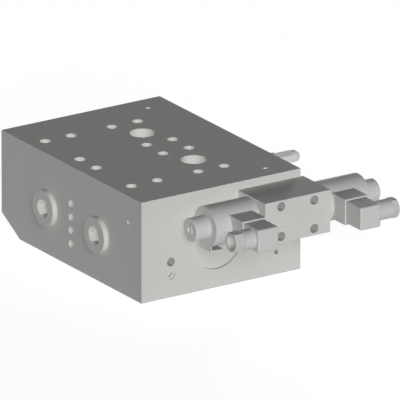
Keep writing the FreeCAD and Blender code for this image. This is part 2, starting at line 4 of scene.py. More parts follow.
import bmesh
import bpy
import numpy as np
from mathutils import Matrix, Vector

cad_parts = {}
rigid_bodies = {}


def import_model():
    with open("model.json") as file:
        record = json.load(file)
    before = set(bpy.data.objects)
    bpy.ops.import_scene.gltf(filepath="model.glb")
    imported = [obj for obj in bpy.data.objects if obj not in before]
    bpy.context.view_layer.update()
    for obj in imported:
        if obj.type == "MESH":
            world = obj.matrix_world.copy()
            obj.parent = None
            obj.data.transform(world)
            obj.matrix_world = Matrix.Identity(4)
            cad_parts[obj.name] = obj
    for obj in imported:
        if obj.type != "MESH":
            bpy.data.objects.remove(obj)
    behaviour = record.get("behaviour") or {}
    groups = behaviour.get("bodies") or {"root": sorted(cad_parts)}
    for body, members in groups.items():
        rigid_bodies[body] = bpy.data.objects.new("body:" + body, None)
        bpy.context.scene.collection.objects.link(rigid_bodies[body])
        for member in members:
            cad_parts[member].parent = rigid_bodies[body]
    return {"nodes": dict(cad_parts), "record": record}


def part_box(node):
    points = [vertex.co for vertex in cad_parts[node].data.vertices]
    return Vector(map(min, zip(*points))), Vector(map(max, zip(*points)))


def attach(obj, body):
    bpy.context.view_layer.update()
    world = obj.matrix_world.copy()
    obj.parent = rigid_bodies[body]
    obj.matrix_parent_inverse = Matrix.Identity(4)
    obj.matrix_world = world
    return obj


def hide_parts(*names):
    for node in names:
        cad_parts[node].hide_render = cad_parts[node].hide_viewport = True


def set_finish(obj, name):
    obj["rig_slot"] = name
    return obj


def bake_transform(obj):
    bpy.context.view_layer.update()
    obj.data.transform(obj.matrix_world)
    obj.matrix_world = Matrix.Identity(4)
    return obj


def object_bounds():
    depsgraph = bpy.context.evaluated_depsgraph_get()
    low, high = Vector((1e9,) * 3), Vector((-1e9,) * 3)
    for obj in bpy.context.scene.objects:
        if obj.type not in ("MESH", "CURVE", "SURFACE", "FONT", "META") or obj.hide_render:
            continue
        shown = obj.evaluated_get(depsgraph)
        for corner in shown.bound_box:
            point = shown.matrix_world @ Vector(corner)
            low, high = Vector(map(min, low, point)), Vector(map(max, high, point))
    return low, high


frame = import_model()
cadBox = [list(corner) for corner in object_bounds()]
nodes = frame["nodes"]
slotOfNode = {part["node"]: part["material_slot"] for part in frame["record"]["subparts"]}
print("frame loaded:", len(nodes), "nodes")

mm = 0.001
fixedBody = "valve"
sideSigns = {"left": -1.0, "right": 1.0}  # the way each solenoid points along X
right, back, up = np.eye(3)
alongShare = 0.9  # an axis stands along a direction if its part in that direction is greater


# The low and high corner are the least and the greatest coordinates of the node
def boxOf(node):
    low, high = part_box(node)
    return np.array(low), np.array(high)


# Middle = (low corner + high corner) / 2
def middleOf(node):
    low, high = boxOf(node)
    return (low + high) / 2


# Surfaces: grids of points, rows by columns, that become meshes

ringColumns = 96  # points round an axis; a multiple of 12 puts one on every corner and flat of a hexagon
roundSteps = 6  # points in a rounded corner
hexagonSoftness = 160.0  # the greater, the sharper the corners of a hexagon
mergeDistance = 0.002 * mm
sharpAngle = 32.0  # degrees


# First = up, or right if the axis itself is upright; second = axis x first
def acrossAxis(axis):
    first = right if abs(axis[2]) > alongShare else up
    return first, np.cross(axis, first)


# Point = start + along * axis + radius * (cos(angle) * first + sin(angle) * second), row by row
def turnedGrid(start, axis, along, radius):
    axis = np.array(axis, float)
    first, second = acrossAxis(axis)
    along = np.broadcast_to(along, (len(along), ringColumns))
    radius = np.broadcast_to(radius, (len(radius), ringColumns))
    angle = np.arange(ringColumns) * 2 * np.pi / ringColumns
    spoke = np.cos(angle)[:, None] * first + np.sin(angle)[:, None] * second
    return np.array(start) + along[..., None] * axis + radius[..., None] * spoke


# Corners of (along, radius) joined by lines. A rounded one is its centre plus its first and last spoke,
# weighted by sin((1 - share) * sweep) and sin(share * sweep), over sin(sweep).
def roundedOutline(corners, steps=roundSteps):
    points = np.array([corner[:2] for corner in corners], float)
    bends = [corner[2] if len(corner) > 2 else 0.0 for corner in corners]
    pieces = []
    for index, bend in enumerate(bends):
        corner = points[index]
        if bend == 0.0:
            pieces.append(corner[None])
            continue
        before, after = points[index - 1] - corner, points[(index + 1) % len(points)] - corner
        before, after = before / np.linalg.norm(before), after / np.linalg.norm(after)
        half = math.acos(np.clip(before @ after, -1, 1)) / 2
        middle = corner + (before + after) / np.linalg.norm(before + after) * bend / math.sin(half)
        reach = bend / math.tan(half)
        sweep = math.pi - 2 * half
        share = np.linspace(0, 1, steps)[:, None]
        first, last = corner + before * reach - middle, corner + after * reach - middle
        arc = (np.sin((1 - share) * sweep) * first + np.sin(share * sweep) * last) / math.sin(sweep)
        pieces.append(middle + arc)
    outline = np.concatenate(pieces)
    return outline[:, :1], outline[:, 1:]


# Rows of (along, radius) as two grids: a number is the same at every angle, an array has one value for each
def ringRows(rows):
    return [np.array([np.broadcast_to(row[part], ringColumns) for row in rows]) for part in (0, 1)]


# Radius of a hexagon with soft corners: half the flats over the p-norm of its six cosines.
# The first flat faces firstFlat degrees away from the top, so 30 puts a corner on top and 0 a flat.
def hexagonRadius(flats, firstFlat):
    angle = np.arange(ringColumns) * 2 * np.pi / ringColumns
    normals = np.radians(firstFlat + 60 * np.arange(6))
    cosines = np.clip(np.cos(angle[:, None] - normals), 0, None)
    return flats / 2 / np.sum(cosines ** hexagonSoftness, axis=1) ** (1 / hexagonSoftness)


# Block with round edges: a corner centre plus (edge - inset) in each direction, carried along one axis.
# Inset = edge * (1 - sin) and travel = edge * (1 - cos), so a round end is drawn in by a quarter circle.
def roundedBlockGrid(low, high, alongAxis, edge, roundHighEnd=True):
    across = [axis for axis in range(3) if axis != alongAxis]
    half = (high - low)[across] / 2
    length = (high - low)[alongAxis]
    turn = np.linspace(0, np.pi / 2, roundSteps)
    inset, travel = edge * (1 - np.sin(turn)), edge * (1 - np.cos(turn))
    if roundHighEnd:
        inset, travel = np.append(inset, inset[::-1]), np.append(travel, length - travel[::-1])
    else:
        inset, travel = np.append(inset, 0), np.append(travel, length)
    quarter = np.repeat(np.arange(4), roundSteps)
    angle = (quarter + np.tile(np.linspace(0, 1, roundSteps), 4)) * np.pi / 2
    signs = np.array([[1, -1, -1, 1], [1, 1, -1, -1]])[:, quarter]
    direction = np.array([np.cos(angle), np.sin(angle)])
    section = signs * (half - edge)[:, None] + (edge - inset)[:, None, None] * direction
    section = np.pad(section, ((1, 1), (0, 0), (0, 0)))  # the end faces close to their middle
    travel = np.concatenate([[0], travel, [length]])
    grid = np.empty((len(travel), section.shape[2], 3))
    grid[..., across] = section.transpose(0, 2, 1) + ((low + high) / 2)[across]
    grid[..., alongAxis] = low[alongAxis] + travel[:, None]
    return grid


ridgeSettings = {
    "stepsPerTurn": 28,
    "shares": [0.05, 0.44, 0.56, 0.95],  # of the pitch, at the feet and the two edges of the crest
    "peak": 1.14,
    "slope": 1.26,
    "fadeRate": 2,  # the ridge has its full height after 1 / fadeRate turns
    "leastFade": 0.02,
    "sunk": 0.05 * mm,  # how far the feet lie in the wall
}


# Thread ridge = height * (peak - slope * |2 * share - 1|), cut flat at the height and fading at both ends,
# carried round by turns and along by pitch * (turns + share)
def threadGrid(start, axis, radius, pitch, height, length):
    size = ridgeSettings
    axis = np.array(axis, float)
    first, second = acrossAxis(axis)
    turns = length / pitch - 1
    turn = np.linspace(0, turns, int(turns * size["stepsPerTurn"]))[:, None]
    share = np.array(size["shares"])[None]
    fade = np.clip(np.minimum(turn, turns - turn) * size["fadeRate"], size["leastFade"], 1)
    ridge = np.clip(height * (size["peak"] - np.abs(2 * share - 1) * size["slope"]), 0, height) * fade
    inwards = radius + size["sunk"] - ridge
    angle = turn * 2 * np.pi
    spoke = np.cos(angle)[..., None] * first + np.sin(angle)[..., None] * second
    along = (turn + share) * pitch
    return np.array(start) + along[..., None] * axis + inwards[..., None] * spoke


# Mesh object of a grid: each face has the corners (row, column), (row, column + 1), (row + 1, column + 1) and
# (row + 1, column). Doubles at poles and seams are merged and the faces turned outwards.
def surfacePiece(name, grid, wrapRows=False, capEnds=False):
    rows, columns = grid.shape[:2]
    index = np.arange(rows * columns).reshape(rows, columns)
    caps = [index[0].tolist(), index[-1].tolist()] if capEnds else []
    if wrapRows:
        index = np.vstack([index, index[:1]])
    index = np.hstack([index, index[:, :1]])
    quads = np.stack([index[:-1, :-1], index[:-1, 1:], index[1:, 1:], index[1:, :-1]], axis=-1)
    mesh = bpy.data.meshes.new(name)
    mesh.from_pydata(grid.reshape(-1, 3).tolist(), [], quads.reshape(-1, 4).tolist() + caps)
    work = bmesh.new()
    work.from_mesh(mesh)
    bmesh.ops.remove_doubles(work, verts=work.verts, dist=mergeDistance)
    bmesh.ops.recalc_face_normals(work, faces=work.faces)
    work.to_mesh(mesh)
    work.free()
    piece = bpy.data.objects.new(name, mesh)
    bpy.context.scene.collection.objects.link(piece)
    return piece


# Piece = piece with the others, or piece without the others; the others are then removed
def combine(piece, others, operation):
    for other in others:
        joining = piece.modifiers.new(operation.lower(), "BOOLEAN")
        joining.operation = operation
        joining.solver = "EXACT"
        joining.object = other
    graph = bpy.context.evaluated_depsgraph_get()
    piece.data = bpy.data.meshes.new_from_object(piece.evaluated_get(graph))
    piece.modifiers.clear()
    for other in others:
        bpy.data.objects.remove(other)


# Smooth where faces meet at less than the sharp angle, with the large flat faces kept flat
def smoothPiece(piece):
    mesh = piece.data
    mesh.polygons.foreach_set("use_smooth", np.ones(len(mesh.polygons), bool))
    mesh.set_sharp_from_angle(angle=math.radians(sharpAngle))
    weighted = piece.modifiers.new("flatFaces", "WEIGHTED_NORMAL")
    weighted.keep_sharp = True


# A finished piece rides on the fixed body, stands for its node and takes that node's finish
def dress(piece, node):
    smoothPiece(piece)
    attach(piece, fixedBody)
    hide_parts(node)
    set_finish(piece, slotOfNode[node])


# Solenoid coil: a moulded tube with rounded rims, the terminal box in front of it, and a foot under its outer
# end, which is a thin wall down from the coil with a plate turned inwards from its lower edge

coilSettings = {
    "bore": 9.5 * mm,
    "rim": 0.9 * mm,
    "terminalBox": 28.0 * mm,
    "boxEdge": 0.5 * mm,
    "sunk": 12.0 * mm,  # how far from the axis the box and the foot end inside the coil
    "footLength": 15.0 * mm,
    "footWidth": 22.0 * mm,
    "footDrop": 25.0 * mm,
    "footWall": 1.2 * mm,
    "footPlate": 1.6 * mm,
    "footEdge": 0.35 * mm,
    "footInset": 0.05 * mm,  # the wall stands this far inside the coil's end and the plate's edge
}


# Tube = its outline turned about the push pin's axis, from the coil's inner end outwards by its length
def coilPiece(side):
    size, sign = coilSettings, sideSigns[side]
    low, high = boxOf("solenoid_coil_" + side)
    axisPoint = middleOf("push_pin_" + side)
    inner, outer = (low[0], high[0]) if sign > 0 else (high[0], low[0])
    length = abs(outer - inner)
    radius = high[1] - axisPoint[1]
    start = np.array([inner, axisPoint[1], axisPoint[2]])
    outline = roundedOutline([(0, size["bore"]), (0, radius, size["rim"]), (length, radius, size["rim"]),
                              (length, size["bore"])])
    coil = surfacePiece("coil_" + side, turnedGrid(start, right * sign, *outline), wrapRows=True)
    boxMiddle = middleOf("terminal_pins_" + side)[0]
    half = size["terminalBox"] / 2
    boxLow = np.array([boxMiddle - half, low[1], start[2] - half])
    boxHigh = np.array([boxMiddle + half, start[1] - size["sunk"], start[2] + half])
    box = roundedBlockGrid(boxLow, boxHigh, 1, size["boxEdge"])
    bottom = start[2] - size["footDrop"]

    # Ends = outer end - sign * near and far, so both are measured inwards from the coil's outer end
    def footBlock(name, near, far, halfWidth, lowest, highest):
        ends = sorted([outer - sign * near, outer - sign * far])
        grid = roundedBlockGrid(np.array([ends[0], start[1] - halfWidth, lowest]),
                                np.array([ends[1], start[1] + halfWidth, highest]), 2, size["footEdge"])
        return surfacePiece(name, grid)

    halfWidth, inset = size["footWidth"] / 2, size["footInset"]
    top = start[2] - size["sunk"]
    wall = footBlock("wall", inset, size["footWall"], halfWidth - inset, bottom + inset, top)
    plate = footBlock("plate", 0.0, size["footLength"], halfWidth, bottom, bottom + size["footPlate"])
    combine(coil, [surfacePiece("box", box), wall, plate], "UNION")
    dress(coil, "solenoid_coil_" + side)


# Coil nut: a round cap with a soft rim, open round the tube's neck

nutSettings = {"rim": 1.5 * mm, "innerRim": 0.3 * mm, "mouth": 4.95 * mm, "thread": 7.95 * mm,
               "shoulder": 14.9 * mm, "sealDepth": 1.7 * mm, "sealRadius": 10.0 * mm}


# Start = middle - sign * length / 2, the end that lies against the coil
def coilNutPiece(side):
    size, sign = nutSettings, sideSigns[side]
    low, high = boxOf("coil_nut_" + side)
    middle = (low + high) / 2
    length, radius = high[0] - low[0], (high[2] - low[2]) / 2
    start = np.array([middle[0] - sign * length / 2, middle[1], middle[2]])
    outline = roundedOutline([
        (0, size["sealRadius"]), (0, radius, size["innerRim"]), (length, radius, size["rim"]),
        (length, size["mouth"], size["innerRim"]), (size["shoulder"], size["mouth"]),
        (size["shoulder"], size["thread"]), (size["sealDepth"], size["thread"]),
        (size["sealDepth"], size["sealRadius"])])
    nut = surfacePiece("coilCap_" + side, turnedGrid(start, right * sign, *outline), wrapRows=True)
    dress(nut, "coil_nut_" + side)


# Plug housing: a soft-edged box, hollow behind, with a round neck for the cable gland

housingSettings = {"edge": 1.8 * mm, "wall": 3.0 * mm, "neckRadius": 10.5 * mm, "neckRim": 0.5 * mm,
                   "neckBore": 8.2 * mm, "entry": 5.5 * mm, "cavityEdge": 0.5 * mm,
                   "entryReach": 1.2,  # of the wall, so that the entry is cut right through
                   "entryOverlap": 0.1 * mm}


# Box = the terminals' middle +/- half the height; cavity = the box less one wall, open behind;
# neck = from the box's outer face to the end of the node's box
def housingPiece(side):
    size, sign = housingSettings, sideSigns[side]
    low, high = boxOf("connector_housing_" + side)
    gland = middleOf("gland_seal_" + side)
    boxMiddle = middleOf("terminal_pins_" + side)[0]
    half = (high[2] - low[2]) / 2
    boxLow = np.array([boxMiddle - half, low[1], low[2]])
    boxHigh = np.array([boxMiddle + half, high[1], high[2]])
    housing = surfacePiece("plugHousing_" + side, roundedBlockGrid(boxLow, boxHigh, 1, size["edge"], False))
    face = boxHigh[0] if sign > 0 else boxLow[0]
    neck = abs((high[0] if sign > 0 else low[0]) - face)
    start = np.array([face, gland[1], gland[2]])

    # Rod = a disc of the radius carried from begin to end, both measured outwards from the face
    def rod(name, begin, end, radius, rim=0.0):
        outline = roundedOutline([(begin, 0), (begin, radius), (end, radius, rim), (end, 0)])
        return surfacePiece(name, turnedGrid(start, right * sign, *outline))

    combine(housing, [rod("neck", -size["wall"] / 2, neck, size["neckRadius"], size["neckRim"])], "UNION")
    cavityLow, cavityHigh = boxLow + size["wall"], boxHigh - size["wall"] * np.array([1, -1, 1])
    cavity = surfacePiece("cavity", roundedBlockGrid(cavityLow, cavityHigh, 1, size["cavityEdge"], False))
    bore = rod("bore", 0, neck + size["wall"], size["neckBore"])
    entry = rod("entry", -size["wall"] * size["entryReach"], size["entryOverlap"], size["entry"])
    combine(housing, [cavity, bore, entry], "DIFFERENCE")
    dress(housing, "connector_housing_" + side)


# Gland nut: a hexagon drawn in by a cone at its outer end and bevelled to a seam where it meets the neck,
# with a nose inside the neck and a round mouth.
# Where cone and hexagon meet, the distance along is linear in the hexagon's own radius.

glandSettings = {"flats": 19.3 * mm, "firstFlat": 0.0, "nose": 6.0 * mm, "noseRadius": 8.15 * mm,
                 "mouth": 7.0 * mm, "mouthEdge": 0.7 * mm,
                 "mouthBend": 0.3,  # share of the mouth's edge at which it bends
                 "rim": 0.8 * mm, "rimDraw": 1.2 * mm, "seam": 0.5 * mm}


# Cone start = length - rim * (hexagon's radius - corner's radius + rimDraw) / rimDraw, angle by angle
def glandNutPiece(side):
    size, sign = glandSettings, sideSigns[side]
    nose, mouth, mouthEdge = size["nose"], size["mouth"], size["mouthEdge"]
    low, high = boxOf("gland_nut_" + side)
    middle = (low + high) / 2
    length = high[0] - low[0] - nose
    start = np.array([low[0] + nose if sign > 0 else high[0] - nose, middle[1], middle[2]])
    hexagon = hexagonRadius(size["flats"], size["firstFlat"])
    corner = size["flats"] / math.sqrt(3)
    coneStart = length - size["rim"] * (hexagon - corner + size["rimDraw"]) / size["rimDraw"]
    bend = mouthEdge * size["mouthBend"]
    along, radius = ringRows([
        (-nose, mouth), (length - mouthEdge, mouth), (length - bend, mouth + bend),
        (length, mouth + mouthEdge), (length, corner - size["rimDraw"]), (coneStart, hexagon),
        (size["seam"], hexagon), (0, hexagon - size["seam"]), (0, size["noseRadius"]),
        (-nose, size["noseRadius"])])
    nut = surfacePiece("glandNut_" + side, turnedGrid(start, right * sign, along, radius), wrapRows=True)
    dress(nut, "gland_nut_" + side)


# Collared plug with a hexagon socket; the countersink meets each flat where its depth is the missing radius

crossPlugSettings = {"collarHeight": 5.4 * mm, "rim": 0.35 * mm, "socket": 17.0 * mm, "firstFlat": 0.0,
                     "socketDepth": 9.0 * mm, "countersink": 9.9 * mm, "thread": 16.45 * mm,
                     "threadLength": 16.0 * mm, "endEdge": 1.0 * mm, "sealRadius": 18.45 * mm,
                     "sealDepth": 1.3 * mm}


# Depth of the countersink = its radius at the face - the hexagon's radius, angle by angle
def crossPlugPiece(place):
    size = crossPlugSettings
    low, high = boxOf(place + "_cross_plug")
    middle = (low + high) / 2
    radius = (high[2] - low[2]) / 2
    start = np.array([low[0], middle[1], middle[2]])
    hexagon = hexagonRadius(size["socket"], size["firstFlat"])
    underside = size["collarHeight"]
    sealTop = underside - size["sealDepth"]
    end = underside + size["threadLength"]
    outline = roundedOutline([
        (0, size["countersink"]), (0, radius, size["rim"]), (underside, radius),
        (underside, size["sealRadius"]), (sealTop, size["sealRadius"]), (sealTop, size["thread"]),
        (end, size["thread"], size["endEdge"]), (end, 0)])
    socket = [(size["socketDepth"], 0), (size["socketDepth"], hexagon),
              (size["countersink"] - hexagon, hexagon)]
    along, radii = ringRows(socket + list(zip(*outline)))
    plug = surfacePiece(place + "CrossPlug", turnedGrid(start, right, along, radii))
    dress(plug, place + "_cross_plug")


# Relief fitting's cap nut: a hexagon drawn in at both ends, then a round end with a large rounded edge

reliefSettings = {"flats": 13.0 * mm, "firstFlat": 30.0, "hexagonLength": 19.8 * mm, "roundRadius": 6.4 * mm,
                  "roundEdge": 5.0 * mm, "edgeSteps": 12, "shoulder": 0.2 * mm, "bore": 4.05 * mm,
                  "boreDepth": 21.0 * mm, "draw": 0.5}


# Drawn = draw * (hexagon's radius - half the flats), angle by angle: how far the hexagon's ends are drawn in
def reliefCapPiece():
    size = reliefSettings
    low, high = boxOf("relief_cap")
    middle = (low + high) / 2
    length = high[0] - low[0]
    start = np.array([low[0], middle[1], middle[2]])
    hexagon = hexagonRadius(size["flats"], size["firstFlat"])
    inner = size["flats"] / 2
    drawn = size["draw"] * (hexagon - inner)
    hexEnd, roundRadius = size["hexagonLength"], size["roundRadius"]
    rows = [(size["boreDepth"], 0), (size["boreDepth"], size["bore"]), (0, size["bore"]), (0, inner),
            (drawn, hexagon), (hexEnd - drawn, hexagon), (hexEnd, roundRadius)]
    end = roundedOutline([(hexEnd + size["shoulder"], roundRadius), (length, roundRadius, size["roundEdge"]),
                          (length, 0)], steps=size["edgeSteps"])
    along, radius = ringRows(rows + list(zip(*end)))
    cap = surfacePiece("reliefCapNut", turnedGrid(start, right, along, radius))
    dress(cap, "relief_cap")


# Springs: a wire round a helix.

springSettings = {
    "main_spring": {"wire": 2.0 * mm, "turns": 6.0, "axis": back, "heldHigh": True,
                    "presses": "main_spool"},
    "relief_spring": {"wire": 0.45 * mm, "turns": 7.0, "axis": right, "heldHigh": True,
                      "presses": "relief_poppet"},
    "pilot_spring_left": {"wire": 0.6 * mm, "turns": 5.0, "axis": right, "heldHigh": False,
                          "presses": "pilot_spool"},
    "pilot_spring_right": {"wire": 0.6 * mm, "turns": 5.0, "axis": right, "heldHigh": True,
                           "presses": "pilot_spool"},
}
wireColumns = 16
wireStepsPerTurn = 40


# Line = middle + radius * (cos * up + sin * second) + rise * axis, turn by turn;
# point = line + wire * (cos * outwards + sin * across), angle by angle round the wire
def springPiece(node):
    size = springSettings[node]
    wire, axis = size["wire"], size["axis"]
    low, high = boxOf(node)
    middle = (low + high) / 2
    radius = (high[2] - low[2]) / 2 - wire
    length = (high - low) @ axis
    turn = np.linspace(0, size["turns"], int(size["turns"] * wireStepsPerTurn) + 1)[:, None]
    angle = turn * 2 * np.pi
    second = np.cross(axis, up)
    spoke = np.cos(angle) * up + np.sin(angle) * second
    rise = (length - 2 * wire) * (turn / size["turns"] - 0.5)
    line = middle + radius * spoke + rise * axis
    tangent = np.gradient(line, axis=0)
    tangent = tangent / np.linalg.norm(tangent, axis=1, keepdims=True)
    across = np.cross(tangent, spoke)
    section = (np.arange(wireColumns) * 2 * np.pi / wireColumns)[None, :, None]
    grid = line[:, None] + wire * (np.cos(section) * spoke[:, None] + np.sin(section) * across[:, None])
    spring = surfacePiece(node + "Wire", grid, capEnds=True)
    spring.data.polygons.foreach_set("use_smooth", np.ones(len(spring.data.polygons), bool))
    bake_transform(spring)
    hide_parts(node)
    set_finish(spring, slotOfNode[node])


# Threads of the open tapped holes, as a ridge in each hole that a screw goes into

threadSettings = {
    "pump_flange_front": {"pitch": 2.0 * mm, "height": 0.45 * mm, "length": 26.0 * mm},
    "pump_flange_rear": {"pitch": 2.0 * mm, "height": 0.45 * mm, "length": 26.0 * mm},
    "case_ports_lower": {"pitch": 0.907 * mm, "height": 0.25 * mm, "length": 11.0 * mm},
    "case_ports_upper": {"pitch": 0.907 * mm, "height": 0.25 * mm, "length": 11.0 * mm},
    "top_threads": {"pitch": 1.0 * mm, "height": 0.25 * mm, "length": 10.0 * mm},
    "left_thread": {"pitch": 0.8 * mm, "height": 0.2 * mm, "length": 9.0 * mm},
}
leadIn = 0.4 * mm  # the thread starts this far below the face


# Place = the mount's point +/- half of each spacing; start = the place, moved along the axis to face - leadIn
def threadPieces(mount):
    size = threadSettings[mount["name"]]
    outwards = np.array(mount["axis"], float)
    spreads = []
    columnWay = up if abs(outwards[0]) > alongShare else back  # upright in a side face
    for direction, key in ((right, "spacing_x_mm"), (columnWay, "spacing_y_mm")):
        half = mount["dims"].get(key, 0.0) * mm / 2
        spreads.append([direction * half, -direction * half] if half else [direction * 0.0])
    places = [np.array(mount["pos_m"]) + inRow + inColumn for inRow in spreads[0] for inColumn in spreads[1]]
    low, high = boxOf("valve_block")
    face = np.where(outwards > 0, high, low) - outwards * leadIn
    radius = mount["dims"].get("hole_r_mm", mount["dims"].get("r_mm")) * mm
    for number, place in enumerate(places):
        start = np.where(np.abs(outwards) > alongShare, face, place)
        grid = threadGrid(start, -outwards, radius, size["pitch"], size["height"], size["length"])
        ridge = surfacePiece("thread_%s_%d" % (mount["name"], number), grid, capEnds=True)
        smoothPiece(ridge)
        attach(ridge, fixedBody)
        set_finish(ridge, slotOfNode["valve_block"])


for side in sideSigns:
    coilPiece(side)
    coilNutPiece(side)
    housingPiece(side)
    glandNutPiece(side)
for place in ("front", "rear"):
    crossPlugPiece(place)
reliefCapPiece()
print("moulded and turned pieces made")
for node in springSettings:
    springPiece(node)
print("springs made")
for mount in frame["record"]["mounts"]:
    if mount["name"] in threadSettings:
        threadPieces(mount)
print("threads made")


# Node groups: effects that several finishes share

noiseSettings = {"grain": {"Detail": 3.0, "Roughness": 0.55}, "cloud": {"Detail": 4.0, "Roughness": 0.6}}
cutterSettings = {"Detail": 2.0, "Detail Scale": 0.6}
cutterShift = (0.31, 0.07, 0.0)  # metres from the rings' middle to the frame's origin


# New node with each named input set to its value
def addNode(tree, kind, **inputs):
    node = tree.nodes.new(kind)
    for name, value in inputs.items():
        node.inputs[name].default_value = value
    return node


# New group with its inputs (name, kind, value) and outputs (name, kind)
def newGroup(name, inputs, outputs):
    group = bpy.data.node_groups.new(name, "ShaderNodeTree")
    for socket, kind, value in inputs:
        made = group.interface.new_socket(name=socket, in_out="INPUT", socket_type=kind)
        if value is not None:
            made.default_value = value
    for socket, kind in outputs:
        group.interface.new_socket(name=socket, in_out="OUTPUT", socket_type=kind)
    return group, group.nodes.new("NodeGroupInput"), group.nodes.new("NodeGroupOutput")


# Output = operation(first, second); a number is set and a socket is linked
def mathNode(tree, operation, first, second):
    node = tree.nodes.new("ShaderNodeMath")
    node.operation = operation
    for index, value in enumerate([first, second]):
        if isinstance(value, (int, float)):
            node.inputs[index].default_value = value
        else:
            tree.links.new(value, node.inputs[index])
    return node.outputs[0]


# Surface grain: height = fine noise; tone = 1 + (2 * noise - 1) * grain tone + (2 * cloud - 1) * cloud tone
def makeGrainGroup():
    group, given, result = newGroup("surfaceGrain", [
        ("Vector", "NodeSocketVector", None), ("Grain Scale", "NodeSocketFloat", 900.0),
        ("Cloud Scale", "NodeSocketFloat", 18.0), ("Grain Tone", "NodeSocketFloat", 0.04),
        ("Cloud Tone", "NodeSocketFloat", 0.03)],
        [("Tone", "NodeSocketFloat"), ("Height", "NodeSocketFloat")])
    grain = addNode(group, "ShaderNodeTexNoise", **noiseSettings["grain"])
    cloud = addNode(group, "ShaderNodeTexNoise", **noiseSettings["cloud"])
    for noise, scale in ((grain, "Grain Scale"), (cloud, "Cloud Scale")):
        group.links.new(given.outputs["Vector"], noise.inputs["Vector"])
        group.links.new(given.outputs[scale], noise.inputs["Scale"])
    swings = []
    for noise, tone in ((grain, "Grain Tone"), (cloud, "Cloud Tone")):
        centred = mathNode(group, "SUBTRACT", noise.outputs["Fac"], 0.5)
        doubled = mathNode(group, "MULTIPLY", centred, 2.0)
        swings.append(mathNode(group, "MULTIPLY", doubled, given.outputs[tone]))
    total = mathNode(group, "ADD", swings[0], swings[1])
    group.links.new(mathNode(group, "ADD", total, 1.0), result.inputs["Tone"])
    group.links.new(grain.outputs["Fac"], result.inputs["Height"])
    return group


# Cutter marks of a face mill: height = wave of (distance from a far point * scale + waver * noise)
def makeCutterGroup():
    group, given, result = newGroup("cutterMarks", [
        ("Vector", "NodeSocketVector", None), ("Spacing Scale", "NodeSocketFloat", 160.0),
        ("Waver", "NodeSocketFloat", 1.2)],
        [("Height", "NodeSocketFloat")])
    wave = addNode(group, "ShaderNodeTexWave", **cutterSettings)
    wave.wave_type = "RINGS"
    wave.rings_direction = "SPHERICAL"
    group.links.new(given.outputs["Vector"], wave.inputs["Vector"])
    group.links.new(given.outputs["Spacing Scale"], wave.inputs["Scale"])
    group.links.new(given.outputs["Waver"], wave.inputs["Distortion"])
    group.links.new(wave.outputs["Fac"], result.inputs["Height"])
    return group


grainGroup = makeGrainGroup()
cutterGroup = makeCutterGroup()

# Every finish: colour as linear light, and how its grain, tone and gloss vary where they aren't as usual

usualFinish = {"specular": 0.5, "metallic": 0.0, "grainTone": 0.05, "cloudTone": 0.03, "bump": 0.10,
               "depth": 0.02, "marks": 0.0}
finishSettings = {
    "block": {"colour": (0.575, 0.566, 0.552), "rough": 0.55, "specular": 0.02, "grain": 1100.0,
              "marks": 0.10},
    "steel_plug": {"colour": (0.585, 0.575, 0.560), "rough": 0.48, "specular": 0.12, "grain": 1500.0},
    "relief_fitting": {"colour": (0.600, 0.590, 0.575), "rough": 0.42, "grain": 1500.0},
    "pilot_casting": {"colour": (0.575, 0.566, 0.552), "rough": 0.58, "specular": 0.04, "grain": 700.0,
                      "grainTone": 0.06, "cloudTone": 0.04, "bump": 0.20, "depth": 0.04},
    "coil": {"colour": (0.570, 0.563, 0.553), "rough": 0.36, "specular": 0.07, "grain": 2200.0,
             "grainTone": 0.04, "cloudTone": 0.02, "bump": 0.15},
    "coil_nut": {"colour": (0.570, 0.563, 0.553), "rough": 0.34, "specular": 0.09, "grain": 2200.0,
                 "grainTone": 0.04, "cloudTone": 0.02, "bump": 0.12},
    "plug_housing": {"colour": (0.570, 0.562, 0.550), "rough": 0.34, "specular": 0.06, "grain": 2600.0,
                     "grainTone": 0.04, "cloudTone": 0.02, "bump": 0.15},
    "gland_nut": {"colour": (0.570, 0.562, 0.550), "rough": 0.34, "specular": 0.09, "grain": 2600.0,
                  "grainTone": 0.04, "cloudTone": 0.02, "bump": 0.12},
    "pole_steel": {"colour": (0.600, 0.592, 0.580), "rough": 0.4, "grain": 1800.0, "cloudTone": 0.02,
                   "bump": 0.08},
    "ground_steel": {"colour": (0.640, 0.632, 0.620), "rough": 0.3, "metallic": 0.85, "grain": 2500.0,
                     "cloudTone": 0.02, "bump": 0.06, "depth": 0.01},
    "spring": {"colour": (0.300, 0.305, 0.315), "rough": 0.35, "metallic": 0.9, "grain": 1800.0,
               "grainTone": 0.08},
    "screw": {"colour": (0.090, 0.090, 0.092), "rough": 0.42, "metallic": 0.6, "grain": 1500.0,
              "grainTone": 0.12, "cloudTone": 0.05, "bump": 0.12},
    "contact": {"colour": (0.690, 0.560, 0.300), "rough": 0.3, "metallic": 1.0, "grain": 1800.0,
                "grainTone": 0.06, "cloudTone": 0.04, "bump": 0.08},
    "seal": {"colour": (0.030, 0.030, 0.031), "rough": 0.62, "specular": 0.4, "grain": 1400.0,
             "grainTone": 0.15, "cloudTone": 0.06, "bump": 0.20, "depth": 0.03},
}


